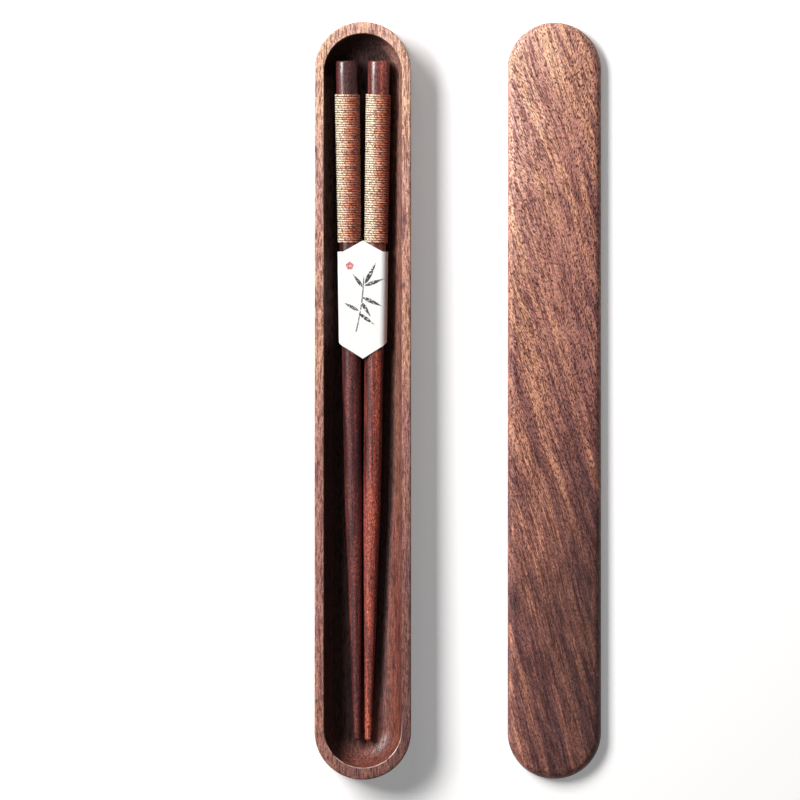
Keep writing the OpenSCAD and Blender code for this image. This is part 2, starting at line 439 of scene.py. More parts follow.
@dataclass(frozen=True)
class HollowWalnut(Walnut):
    """Walnut of the hollow, darker than the rim, with painted shade on the floor, the left wall and the head
    end and a painted highlight on the mouth's edge at the tip end.
    """

    mouth_z: float = 13.75 * MM

    def worn(
        self, graph: Graph, place: Parts, streak: Socket, colour: Socket, roughness: Socket
    ) -> tuple[Socket, Socket]:
        """Paint shade on the floor, the left wall and the head end, and a highlight on the mouth's edge.

        Args:
            graph: Node tree of the material.
            place: Coordinates in metres.
            streak: Pattern that breaks up the painted highlight on the edge.
            colour: Colour of the bare wood.
            roughness: Roughness of the bare wood.

        Returns:
            The colour and the roughness with the painted shade and highlight.
        """
        x, y, z = place
        # Painted shade where the hollow lies in shadow: the floor up to the edge of the right chopstick's
        # shadow, the left wall under the left rim's shadow and the head end under the end wall's shadow.
        # These places are made rougher too.
        left_of_tips = x.smooth(2.0 * MM, -3.0 * MM) * y.smooth(-121.0 * MM, -113.0 * MM)
        up_to_tips = y.smooth(-118.0 * MM, -85.0 * MM).most(left_of_tips)
        in_shade = (x - y * 0.05).smooth(12.6 * MM, 11.0 * MM)
        floor = z.smooth(7.2 * MM, 5.0 * MM) * up_to_tips * in_shade
        left_wall = x.smooth(-5.0 * MM, -8.0 * MM) * 0.75
        head_end = x.smooth(10.0 * MM, 5.0 * MM) * y.smooth(105.0 * MM, 111.0 * MM) * 0.95
        painted_shade = floor.most(left_wall).most(head_end)
        # Painted highlight where the rounded mouth edge catches the light at the tip end.
        edge = z.smooth(self.mouth_z, self.mouth_z + 0.15 * MM) * y.smooth(-106.0 * MM, -118.0 * MM)
        with_painted_shade = graph.tint(painted_shade, colour, PAINTED_SHADE_TINT)
        with_edge_highlight = graph.mix(edge * streak.smooth(0.35, 0.6) * 0.9, with_painted_shade, PAINTED_EDGE_HIGHLIGHT)
        return with_edge_highlight, roughness + painted_shade * 0.4


@dataclass(frozen=True)
class Lacquer(Finish):
    """Reddish wood with dark flecks under a clear semi-gloss lacquer."""

    name: str
    tones: tuple[Colour, Colour, Colour]
    patch: Colour
    patch_share: float
    shift: float

    def draw(self, graph: Graph) -> None:
        """Lay fine streaks, warm patches, dark smoke and flecks along the chopstick.

        Args:
            graph: Node tree of the material.
        """
        place = graph.object_place()
        _, y, _ = graph.parts(place)
        streak = graph.noise(place, (1300.0, 30.0, 1300.0), 3.0, self.shift)
        patch = graph.noise(place, (420.0, 30.0, 420.0), 2.0, self.shift + 5.0)
        smoke = graph.noise(place, (330.0, 16.0, 330.0), 3.0, self.shift + 29.0)
        fleck_field = graph.noise(place, (2900.0, 1000.0, 2900.0), 1.0, self.shift + 11.0)
        spot = graph.noise(place, (2900.0, 1100.0, 2900.0), 1.0, self.shift + 23.0)
        fleck = fleck_field.smooth(0.52, 0.62)
        handle = y.smooth(-36.0 * MM, -22.0 * MM)
        colour = graph.ramp(tuple(zip((0.32, 0.5, 0.68), self.tones)), streak)
        colour = graph.mix(patch.smooth(0.48, 0.66) * self.patch_share, colour, self.patch)
        colour = graph.tint(smoke.smooth(0.40, 0.54) * handle * 0.85, colour, (0.30, 0.24, 0.27))
        colour = graph.tint(spot.smooth(0.54, 0.62) * 0.85, colour, (2.4, 2.2, 2.1))
        colour = graph.tint(fleck * 0.9, colour, (0.22, 0.19, 0.22))
        graph.surface(
            {
                "Base Color": colour,
                "Roughness": 0.46 + fleck * 0.1,
                "Coat Weight": (0.12 + y.smooth(0.0, 90.0 * MM) * 0.78) * (1.0 - fleck * 0.4),
                "Coat Roughness": 0.23,
                "Coat IOR": 1.65,
                "Specular IOR Level": 0.35,
                "Normal": graph.bump(fleck_field, 0.07 * MM, 0.4),
            }
        )


# From copper to cream: the cream end is the painted sheen of the side towards the window.
SILK_AND_SHEEN_STOPS = (
    (0.28, (0.46, 0.10, 0.060)),
    (0.43, (0.72, 0.225, 0.130)),
    (0.58, (0.98, 0.56, 0.36)),
    (0.72, (1.0, 0.90, 0.69)),
)


@dataclass(frozen=True)
class SilkThread(Finish):
    """Silky thread of fine fibres laid in a twist, with its dye varied by turn and fibre and a painted sheen:
    cream on the side towards the light and copper on the other.
    """

    name: str
    middle_x: float
    spread: float = 12.0 * MM
    strand: float = 1.3 * MM
    strand_rise: float = 1.7 * MM

    def draw(self, graph: Graph) -> None:
        """Lay fibres along the turns, a slanting twist and specks over them, and painted shade between the
        turns.

        Args:
            graph: Node tree of the material.
        """
        place = graph.object_place()
        x, y, z = graph.parts(place)
        crest = graph.node("ShaderNodeAttribute", {"attribute_name": "crest"}, output="Fac")
        fibre = graph.noise(place, (900.0, 9000.0, 900.0), 2.0)
        turn = graph.noise(place, (170.0, 1500.0, 170.0), 1.0, 7.0)
        loose = graph.noise(place, (500.0, 700.0, 500.0), 1.0, 19.0)
        speck = graph.noise(place, (1500.0, 1500.0, 1500.0), 1.0, 37.0)
        lay = (x + z) * (math.tau / self.strand) + y * (math.tau / self.strand_rise) + loose * 14.0
        twist = lay.sine() * 0.5 + 0.5
        # Painted sheen and shade: cream on the side towards the window on the left, copper away from it, over
        # dye that varies by turn and fibre.
        dye_and_painted_sheen = turn * 0.4 + fibre * 0.6 - (x - self.middle_x) / self.spread
        colour = graph.ramp(SILK_AND_SHEEN_STOPS, dye_and_painted_sheen)
        colour = graph.tint(twist.smooth(0.3, 0.08) * 0.6, colour, (0.26, 0.14, 0.11))
        colour = graph.tint(speck.smooth(0.54, 0.62) * 0.85, colour, (0.26, 0.11, 0.075))
        # Painted shade in the grooves between the turns, darkest where the thread dips lowest.
        colour = graph.tint(crest.smooth(0.8, 0.35) * 0.9, colour, (0.22, 0.11, 0.09))
        graph.surface(
            {
                "Base Color": colour,
                "Roughness": 0.42 + fibre * 0.14,
                "IOR": 1.6,
                "Sheen Weight": 0.2,
                "Sheen Roughness": 0.35,
                "Sheen Tint": (1.0, 0.84, 0.68, 1.0),
                "Normal": graph.bump(fibre * 0.6 + twist * 0.4, 0.06 * MM, 0.5),
            }
        )


@dataclass(frozen=True)
class Leaf:
    """One brushed leaf, by its base, its length, its half width and its direction in degrees."""

    x: float
    y: float
    length: float
    half_w: float
    turn: float

    def mask(self, x: Socket, y: Socket) -> Socket:
        """Ink of the leaf.

        Args:
            x: Place across the band in millimetres.
            y: Place along the band in millimetres.

        Returns:
            1 inside the leaf and 0 outside.
        """
        cosine, sine = math.cos(math.radians(self.turn)), math.sin(math.radians(self.turn))
        along = ((x - self.x) * cosine + (y - self.y) * sine) / self.length
        aside = (y - self.y) * cosine - (x - self.x) * sine
        swell = along * (1.0 - along) * (1.35 - along) * (self.half_w * 3.4)
        inside = (swell - aside.size()).smooth(-0.03, 0.06)
        return inside * along.smooth(0.0, 0.03) * along.smooth(1.02, 0.98)


@dataclass(frozen=True)
class Paper(Finish):
    """Matt white paper with a faint fibre texture, printed with a plain bamboo sprig and a red blossom."""

    name: str
    leaves: tuple[Leaf, ...]
    blossom: Point = (-4.4, 45.6)
    petals: int = 5
    petal_r: float = 0.62
    petal_out: float = 0.78
    stem_foot: Point = (-2.9, 21.0)
    stem_top: float = 36.0
    stem_slope: float = 0.19
    stem_bow: float = 0.006
    stem_joint: float = 30.6
    front_z: float = 9.6 * MM

    def ink(self, x: Socket, y: Socket) -> Socket:
        """Black brush work: the stem and its leaves.

        Args:
            x: Place across the band in millimetres.
            y: Place along the band in millimetres.

        Returns:
            1 where there is ink.
        """
        foot_x, foot_y = self.stem_foot
        rise = y - foot_y
        aside = x - (foot_x + rise * self.stem_slope - rise * (y - self.stem_top) * self.stem_bow)
        stem = aside.size().smooth(0.26, 0.14) * y.smooth(23.2, 23.5) * y.smooth(43.0, 40.5)
        drawn = stem * (y - self.stem_joint).size().smooth(0.12, 0.3)
        for leaf in self.leaves:
            drawn = drawn.most(leaf.mask(x, y))
        return drawn

    def red(self, x: Socket, y: Socket) -> Socket:
        """Petals round a bare middle.

        Args:
            x: Place across the band in millimetres.
            y: Place along the band in millimetres.

        Returns:
            1 on the petals.
        """
        dots = []
        for petal in range(self.petals):
            angle = math.tau * petal / self.petals + math.pi / 2
            aside = x - (self.blossom[0] + self.petal_out * math.cos(angle))
            above = y - (self.blossom[1] + self.petal_out * math.sin(angle))
            dots.append((aside * aside + above * above).smooth(self.petal_r**2 * 1.15, self.petal_r**2 * 0.8))
        return functools.reduce(Socket.most, dots)

    def draw(self, graph: Graph) -> None:
        """Lay fibres, a faint warm mottle and the print on the front.

        Args:
            graph: Node tree of the material.
        """
        place = graph.object_place()
        x, y, z = graph.parts(place)
        fibre = graph.noise(place, (1500.0, 1500.0, 1500.0), 3.0)
        mottle = graph.noise(place, (130.0, 130.0, 130.0), 2.0, 3.0)
        brush = graph.noise(place, (1900.0, 1900.0, 200.0), 2.0, 13.0)
        front = z.smooth(self.front_z, self.front_z + 0.3 * MM)
        across, along = x / MM, y / MM
        ink = self.ink(across, along) * front * brush.smooth(0.70, 0.52)
        red = self.red(across, along) * front * brush.smooth(0.74, 0.5)
        colour = graph.mix(mottle.smooth(0.35, 0.7), (0.97, 0.967, 0.963), (0.94, 0.935, 0.928))
        colour = graph.mix(fibre.smooth(0.58, 0.72) * 0.25, colour, (0.82, 0.805, 0.79))
        colour = graph.mix(ink * 0.96, colour, (0.022, 0.021, 0.023))
        colour = graph.mix(red * 0.9, colour, (0.62, 0.09, 0.07))
        graph.surface(
            {
                "Base Color": colour,
                "Roughness": 0.78 + mottle * 0.12,
                "Specular IOR Level": 0.3,
                "Normal": graph.bump(fibre, 0.05 * MM, 0.5),
            }
        )


def arc(centre: Point, radius: float, start: float, end: float, steps: int) -> list[Point]:
    """Points on a circular arc of a profile.

    Args:
        centre: Middle of the arc, as distance from the middle line and height.
        radius: Radius of the arc.
        start: First angle in degrees.
        end: Last angle in degrees.
        steps: Straight stretches that stand for the arc.

    Returns:
        steps + 1 points.
    """
    angles = [math.radians(start + (end - start) * i / steps) for i in range(steps + 1)]
    return [(centre[0] + radius * math.cos(a), centre[1] + radius * math.sin(a)) for a in angles]


def add_object(name: str, data: bpy.types.ID) -> bpy.types.Object:
    """Put a mesh, a camera or a lamp into the scene.

    Args:
        name: Name of the object.
        data: What it shows.

    Returns:
        The object, at the origin.
    """
    made = bpy.data.objects.new(name, data)
    bpy.context.scene.collection.objects.link(made)
    return made


class Piece:
    """A mesh under construction that becomes one named object on a CAD body."""

    def __init__(self, name: str) -> None:
        """Start an empty mesh."""
        self.name = name
        self.mesh = bmesh.new()

    def sweep(
        self,
        profile: Sequence[Point],
        run: float,
        centre_x: float,
        second_below: float = -1.0,
        steps: int = 56,
    ) -> None:
        """Carry a profile round a straight body with half-round ends.

        Args:
            profile: Distances from the middle line and heights, in metres.
            run: Distance along Y from the middle to the centre of each round end.
            centre_x: Where the body's middle line lies.
            second_below: Height under which the new faces take the piece's second material.
            steps: Steps round each half turn.
        """
        known = set(self.mesh.faces)
        verts = [self.mesh.verts.new((centre_x + r, run, z)) for r, z in profile]
        edges = [self.mesh.edges.new(pair) for pair in zip(verts, verts[1:])]
        last: list[Any] = verts + edges
        for end in (1, -1):
            spun = bmesh.ops.spin(
                self.mesh,
                geom=last,
                cent=(centre_x, end * run, 0.0),
                axis=(0.0, 0.0, 1.0),
                angle=math.pi,
                steps=steps,
                use_merge=False,
            )
            rail = [g for g in spun["geom_last"] if isinstance(g, bmesh.types.BMEdge)]
            moved, front = self.draw_out(rail)
            bmesh.ops.translate(self.mesh, verts=moved, vec=(0.0, -2.0 * end * run, 0.0))
            last = moved + front
        for face in self.mesh.faces:
            if face not in known and face.calc_center_median().z < second_below:
                face.material_index = 1
        self.merge()

    def draw_out(
        self, edges: Sequence[bmesh.types.BMEdge]
    ) -> tuple[list[bmesh.types.BMVert], list[bmesh.types.BMEdge]]:
        """Extrude a row of edges.

        Args:
            edges: The row.

        Returns:
            Vertices and edges of the new row, still in the old one's place.
        """
        drawn = bmesh.ops.extrude_edge_only(self.mesh, edges=edges)["geom"]
        verts = [g for g in drawn if isinstance(g, bmesh.types.BMVert)]
        front = set(verts)
        return verts, [g for g in drawn if isinstance(g, bmesh.types.BMEdge) and set(g.verts) <= front]

    def merge(self) -> None:
        """Close seams and poles, and drop what they leave without an area."""
        bmesh.ops.remove_doubles(self.mesh, verts=self.mesh.verts[:], dist=MERGE_DISTANCE)
        bmesh.ops.dissolve_degenerate(self.mesh, edges=self.mesh.edges[:], dist=MERGE_DISTANCE / 10)

    def bridge_open_loops(self) -> None:
        """Join the two open edges that are left."""
        rims = [edge for edge in self.mesh.edges if edge.is_boundary]
        bmesh.ops.bridge_loops(self.mesh, edges=rims)

    def cap_open_loops(self) -> None:
        """Close every open edge with a face."""
        rims = [edge for edge in self.mesh.edges if edge.is_boundary]
        bmesh.ops.holes_fill(self.mesh, edges=rims, sides=0)

    def become_object(
        self, body: str, node: str, materials: Sequence[bpy.types.Material], sharp: float = 35.0
    ) -> bpy.types.Object:
        """Turn the mesh into an object that rides on a body and stands for a CAD node.

        Args:
            body: CAD body that carries the piece.
            node: CAD node that the piece replaces.
            materials: Finishes of the piece.
            sharp: Angle in degrees past which an edge is shaded sharp.

        Returns:
            The object, at the origin, with its place in its mesh.
        """
        bmesh.ops.recalc_face_normals(self.mesh, faces=self.mesh.faces[:])
        data = bpy.data.meshes.new(self.name)
        self.mesh.to_mesh(data)
        self.mesh.free()
        data.shade_smooth()
        data.set_sharp_from_angle(angle=math.radians(sharp))
        for material in materials:
            data.materials.append(material)
        made = add_object(self.name, data)
        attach(made, body)
        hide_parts(node)
        LOG.info("%s: %d faces, rides on %s", self.name, len(data.polygons), body)
        return made


@dataclass
class Tray:
    """Hollowed block of walnut with half-round ends."""

    finish: Walnut
    hollow_finish: HollowWalnut
    floor: float = 3.6 * MM
    side_wall: float = 3.3 * MM
    end_wall: float = 4.1 * MM
    cove: float = 8.0 * MM
    base_round: float = 2.6 * MM
    rim_round: float = 0.6 * MM
    mouth_round: float = 0.4 * MM
    bare_edge: float = 0.02 * MM

    def build(self) -> bpy.types.Object:
        """Sweep the outside and the hollow, and join them over the rim.

        Returns:
            The tray's object.
        """
        low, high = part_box("tray")
        half_w, half_l, height = high.x, high.y, high.z
        hollow_w, hollow_l = half_w - self.side_wall, half_l - self.end_wall
        rim, mouth, cove = self.rim_round, self.mouth_round, self.cove
        outside = [(0.0, low.z)]
        outside += arc((half_w - self.base_round, self.base_round), self.base_round, -90, 0, 12)
        outside += arc((half_w - rim, height - rim), rim, 0, 90, 6)
        inside = arc((hollow_w + mouth, height - mouth), mouth, 90, 180, 6)
        inside += arc((hollow_w - cove, self.floor + cove), cove, 0, -90, 20)
        inside += [(0.0, self.floor)]
        piece = Piece("walnut_tray")
        piece.sweep(outside, half_l - half_w, 0.0)
        piece.sweep(inside, hollow_l - hollow_w, 0.0, second_below=height - self.bare_edge)
        piece.bridge_open_loops()
        materials = [self.finish.material(), self.hollow_finish.material()]
        return piece.become_object("tray", "tray", materials)


@dataclass
class Lid:
    """Walnut plate with a raised lip underneath that fits the tray's mouth."""

    finish: Walnut
    lip_h: float = 1.2 * MM
    lip_side: float = 3.0 * MM
    lip_end: float = 4.3 * MM
    lip_w: float = 1.8 * MM
    recess: float = 0.3 * MM
    top_round: float = 2.6 * MM
    under_round: float = 0.4 * MM
    lip_round: float = 0.4 * MM

    def build(self) -> bpy.types.Object:
        """Sweep the plate and the lip with the hollow inside it, and join them on the underside.

        Returns:
            The lid's object.
        """
        low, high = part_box("lid")
        half_w, half_l, height = (high.x - low.x) / 2, high.y, high.z
        middle = (high.x + low.x) / 2
        lip_out, lip_l = half_w - self.lip_side, half_l - self.lip_end
        lip_in, ceiling = lip_out - self.lip_w, self.lip_h + self.recess
        top, under, small = self.top_round, self.under_round, self.lip_round
        plate = [(0.0, height)]
        plate += arc((half_w - top, height - top), top, 90, 0, 14)
        plate += arc((half_w - under, self.lip_h + under), under, 0, -90, 5)
        lip = [(lip_out, self.lip_h)]
        lip += arc((lip_out - small, low.z + small), small, 0, -90, 5)
        lip += arc((lip_in + small, low.z + small), small, -90, -180, 5)
        lip += [(lip_in, ceiling), (0.0, ceiling)]
        piece = Piece("walnut_lid")
        piece.sweep(plate, half_l - half_w, middle)
        piece.sweep(lip, lip_l - lip_out, middle)
        piece.bridge_open_loops()
        return piece.become_object("lid", "lid", [self.finish.material()])


@dataclass
class Chopstick:
    """Sizes of one chopstick and where it lies, with its thread wrap."""

    side: Side
    lacquer: bpy.types.Material
    silk: bpy.types.Material
    length: float = 230.0 * MM
    head_w: float = 7.4 * MM
    waist_w: float = 5.9 * MM
    tip_w: float = 2.2 * MM
    handle: float = 150.0 * MM
    head_square: float = 2.5
    tip_square: float = 2.1
    head_round: float = 0.6 * MM
    tip_round: float = 0.9 * MM
    head_x: float = 5.45 * MM
    head_z: float = 9.2625 * MM
    tip_x: float = 1.8 * MM
    tip_z: float = 6.1 * MM
    wrap_start: float = 11.0 * MM
    wrap_length: float = 51.0 * MM
    wrap_doublings: int = 6
    thread_t: float = 0.6 * MM
    thread_lift: float = 0.06 * MM
    thread_fill: float = 0.82
    thread_sides: int = 10
    turn_steps: int = 40
    ring_sides: int = 72
    shaft_steps: int = 46
    round_steps: int = 6

    @property
    def name(self) -> str:
        """CAD body and node of the chopstick."""
        return f"{self.side.word}_chopstick"

    def half_width(self, s: float) -> float:
        """Half the width across the flats.

        Args:
            s: Distance from the head end.

        Returns:
            Distance from the axis to a flat.
        """
        if s < self.handle:
            return (self.head_w + (self.waist_w - self.head_w) * s / self.handle) / 2
        share = (s - self.handle) / (self.length - self.handle)
        return (self.waist_w + (self.tip_w - self.waist_w) * share) / 2

    def reach(self, s: float, angle: float) -> float:
        """Distance from the axis to the surface of a unit rounded square.

        Args:
            s: Distance from the head end, which sets how square it is.
            angle: Direction round the axis.

        Returns:
            1 at a flat, and more at a corner.
        """
        square = self.head_square + (self.tip_square - self.head_square) * s / self.length
        total = abs(math.cos(angle)) ** square + abs(math.sin(angle)) ** square
        return total ** (-1.0 / square)

    def axis(self, s: float) -> Vector:
        """Point on the axis of the right-hand chopstick.

        Args:
            s: Distance from the head end.

        Returns:
            The point.
        """
        share = s / self.length
        rise = self.head_z - self.tip_z
        lean = self.head_x - self.tip_x
        run = math.sqrt(self.length**2 - rise**2 - lean**2)
        return Vector((self.head_x - lean * share, run * (0.5 - share), self.head_z - rise * share))

    def placement(self) -> Matrix:
        """Where the chopstick lies.

        Returns:
            Matrix that carries there a shape that stands on its tip along Z.
        """
        mirror = Vector((self.side.value, 1.0, 1.0))
        tip, head = self.axis(self.length) * mirror, self.axis(0.0) * mirror
        lean = head - tip
        turn = Matrix.Rotation(math.atan2(lean.y, lean.x), 4, "Z")
        tilt = Matrix.Rotation(math.acos(lean.z / self.length), 4, "Y")
        return Matrix.Translation(tip) @ turn @ tilt

    def stations(self) -> list[tuple[float, float]]:
        """Distances from the head end with what the end roundings take off there.

        Returns:
            Pairs of distance and inset, in order.
        """
        head, tip, steps = self.head_round, self.tip_round, self.round_steps
        last = self.length - tip
        shaft = [(head + (last - head) * i / self.shaft_steps, 0.0) for i in range(1, self.shaft_steps)]
        return arc((head, head), head, -180, -90, steps) + shaft + arc((last, tip), tip, -90, 0, steps)

    def build_stick(self) -> bpy.types.Object:
        """Draw a ring of points out along the chopstick, then give each ring its section.

        Returns:
            The chopstick's object.
        """
        piece = Piece(f"lacquered_chopstick_{self.side.word}")
        ring = bmesh.ops.create_circle(piece.mesh, segments=self.ring_sides, radius=1.0)["verts"]
        edges = piece.mesh.edges[:]
        rows = self.stations()
        for index, (s, inset) in enumerate(rows):
            for vert in ring:
                angle = math.atan2(vert.co.y, vert.co.x)
                radius = (self.half_width(s) - inset) * self.reach(s, angle)
                vert.co = (radius * math.cos(angle), radius * math.sin(angle), self.length - s)
            if index + 1 < len(rows):
                ring, edges = piece.draw_out(edges)
        piece.cap_open_loops()
        bmesh.ops.transform(piece.mesh, matrix=self.placement(), verts=piece.mesh.verts[:])
        return piece.become_object(self.name, self.name, [self.lacquer], sharp=50.0)

    def build_wrap(self) -> bpy.types.Object:
        """Wind a thread round a unit circle, then press its turns on to the handle.

        Returns:
            The wrap's object.
        """
        piece = Piece(f"silk_wrap_{self.side.word}")
        pitch = self.wrap_length / (2**self.wrap_doublings + 1)
        section = bmesh.ops.create_circle(piece.mesh, segments=self.thread_sides, radius=0.5)["verts"]
        top = self.length - self.wrap_start - pitch / 2
        for vert in section:
            out = self.thread_t * (vert.co.x + 0.5)
            vert.co = (1.0 + out, 0.0, top + pitch * self.thread_fill * vert.co.y)
        bmesh.ops.spin(
            piece.mesh,
            geom=piece.mesh.verts[:] + piece.mesh.edges[:],
            cent=(0.0, 0.0, 0.0),
            axis=(0.0, 0.0, 1.0),
            dvec=(0.0, 0.0, -pitch / self.turn_steps),
            angle=math.tau,
            steps=self.turn_steps,
            use_merge=False,
        )
        for doubling in range(self.wrap_doublings):
            whole = piece.mesh.verts[:] + piece.mesh.edges[:] + piece.mesh.faces[:]
            copy = bmesh.ops.duplicate(piece.mesh, geom=whole)["geom"]
            moved = [g for g in copy if isinstance(g, bmesh.types.BMVert)]
            bmesh.ops.translate(piece.mesh, verts=moved, vec=(0.0, 0.0, -pitch * 2**doubling))
        piece.merge()
        piece.cap_open_loops()
        crest = piece.mesh.verts.layers.float.new("crest")
        for vert in piece.mesh.verts:
            s = self.length - vert.co.z
            angle = math.atan2(vert.co.y, vert.co.x)
            out = math.hypot(vert.co.x, vert.co.y) - 1.0
            radius = self.half_width(s) * self.reach(s, angle) + self.thread_lift + out
            vert[crest] = out / self.thread_t
            vert.co = (radius * math.cos(angle), radius * math.sin(angle), vert.co.z)
        bmesh.ops.transform(piece.mesh, matrix=self.placement(), verts=piece.mesh.verts[:])
        node = f"{self.side.word}_thread_wrap"
        return piece.become_object(self.name, node, [self.silk], sharp=180.0)


@dataclass
class PaperBand:
    """Strip of paper folded round both chopsticks, with a pointed upper and lower edge."""

    finish: Paper
    stick: Chopstick
    under: float = 4.1 * MM
    fit: float = 0.15 * MM
    start: float = 64.6 * MM
    end: float = 95.1 * MM
    top_point: float = 3.8 * MM
    low_point: float = 5.7 * MM
    shoulder: float = 3.2 * MM
    bend: float = 2.4 * MM
    top_slack: float = 0.55 * MM
    low_slack: float = 0.75 * MM
    skin: float = 0.2 * MM
    sheet: float = 0.12 * MM
    overlap: float = 6.0 * MM
    lap_room: float = 1.05
    grid: tuple[int, int] = (168, 20)

    def half_sizes(self, s: float) -> tuple[float, float]:
        """Half width and half height of the band's inside.

        Args:
            s: Distance from the head end.

        Returns:
            The two half sizes.
        """
        spot, half = self.stick.axis(s), self.stick.half_width(s)
        share = (s - self.start) / (self.end - self.start)
        slack = self.top_slack + (self.low_slack - self.top_slack) * share
        return spot.x + half + slack, (spot.z + half + self.fit - self.under) / 2

    def front_half(self, s: float) -> float:
        """Distance along the paper from the middle of the front to the end of its bend."""
        return self.half_sizes(s)[0] - self.bend + self.bend * math.pi / 2

    def girth_half(self, s: float) -> float:
        """Half the way round the paper."""
        half_w, half_h = self.half_sizes(s)
        return 2 * (half_w - self.bend) + 2 * (half_h - self.bend) + self.bend * math.pi

    def around(self, way: float, s: float) -> tuple[Vector, Vector]:
        """Point on the inside of the section, and the way out there.

        Args:
            way: Distance along the paper from the middle of the front, positive to the right.
            s: Distance from the head end.

        Returns:
            The point and the outward direction, with x across and z up.
        """
        half_w, half_h = self.half_sizes(s)
        flat, wall, turn = half_w - self.bend, 2 * (half_h - self.bend), self.bend * math.pi / 2
        left, spans = abs(way), []
        for stretch in (flat, turn, wall, turn, flat):
            spans.append(min(left, stretch))
            left -= spans[-1]
        front, upper_bend, down, lower_bend, back = spans
        angle = math.pi / 2 - (upper_bend + lower_bend) / self.bend
        out = Vector((math.cos(angle), 0.0, math.sin(angle)))
        top = self.under + 2 * half_h - self.bend
        spot = Vector((front - back - left, 0.0, top - down)) + out * self.bend
        mirror = Vector((math.copysign(1.0, way), 1.0, 1.0))
        return spot * mirror, out * mirror

    def fold(self, flat: Vector) -> Vector:
        """Carry a point of the flat sheet to its place on the folded band.

        Args:
            flat: Point of a square that reaches from -1 to 1.

        Returns:
            The point on the outside of the paper.
        """
        half, lap = self.girth_half((self.start + self.end) / 2), self.overlap / 2
        way = flat.x * (half + lap)
        reach_top = self.front_half(self.start) - self.shoulder
        upper = self.start - self.top_point * max(0.0, 1 - abs(way) / reach_top)
        lower = self.end + self.low_point * max(0.0, 1 - abs(way) / self.front_half(self.end))
        s = lower + (upper - lower) * (flat.y + 1) / 2
        spot, out = self.around(way * self.girth_half(s) / half, s)
        tuck = max(0.0, min(1.0, (way - half + 2 * lap) / lap))
        lift = self.skin - self.sheet * self.lap_room * tuck
        return Vector((spot.x, self.stick.axis(s).y, spot.z)) + out * lift

    def build(self) -> bpy.types.Object:
        """Fold a flat sheet round the chopsticks and give it the paper's thickness.

        Returns:
            The band's object.
        """
        piece = Piece("folded_paper_band")
        along, down = self.grid
        bmesh.ops.create_grid(piece.mesh, x_segments=along, y_segments=down, size=1.0)
        for vert in piece.mesh.verts:
            vert.co = self.fold(vert.co)
        bmesh.ops.recalc_face_normals(piece.mesh, faces=piece.mesh.faces[:])
        bmesh.ops.solidify(piece.mesh, geom=piece.mesh.faces[:], thickness=self.sheet)
        materials = [self.finish.material()]
        return piece.become_object("paper_band", "paper_band", materials, sharp=40.0)


@dataclass(frozen=True)
class Lamp:
    """Oblong soft light: where it hangs, what it faces, its watts, the sides of its face and its colour."""

    name: str
    spot: Place
    aim: Place
    power: float
    sides: Point
    colour: Colour

    def hang(self) -> None:
        """Put the lamp into the scene."""
        data = bpy.data.lights.new(self.name, "AREA")
        data.energy = self.power
        data.shape = "RECTANGLE"
        data.size, data.size_y = self.sides
        data.color = self.colour
        made = add_object(self.name, data)
        made.location = self.spot
        ahead = Vector(self.aim) - Vector(self.spot)
        made.rotation_euler = ahead.to_track_quat("-Z", "Y").to_euler()


WHITE = (1.0, 1.0, 1.0)
WINDOW = Lamp("key_light", (-0.75, 0.63, 0.85), (0.03, 0.63, 0.0), 28.7, (1.0, 0.45), (1.0, 0.985, 0.97))
FILL = Lamp("fill_light", (-0.12, 0.62, 0.55), (0.03, 0.0, 0.0), 0.4, (0.22, 0.09), WHITE)


